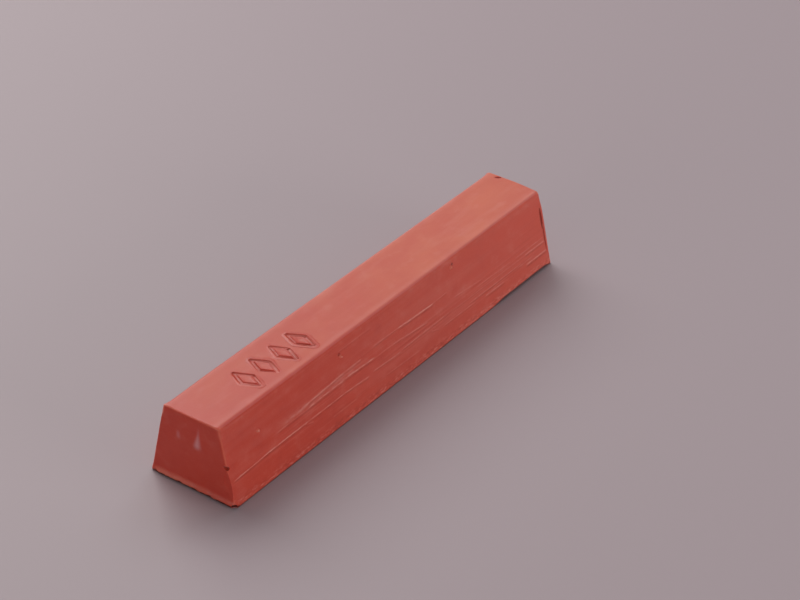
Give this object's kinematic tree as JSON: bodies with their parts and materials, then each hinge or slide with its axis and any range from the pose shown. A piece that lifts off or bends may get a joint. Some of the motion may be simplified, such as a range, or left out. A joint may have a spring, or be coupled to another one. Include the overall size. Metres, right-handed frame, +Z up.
{
  "type": "furniture repair wax stick",
  "caption": "Brick-red bar of hard wax with leaning flanks and a dished base, melted or rubbed into dents and scratches in furniture.",
  "frame": {"origin": "middle of the base, on the surface that the bar lies on", "axes": "+X along the bar, +Y across it, +Z up from the wide base to the narrow top"},
  "size_m": [0.08, 0.0156, 0.0127],
  "materials": {
    "wax": "satin pigmented wax, brick red"
  },
  "bodies": {
    "root": {"wax_bar": "wax"}
  },
  "joints": []
}
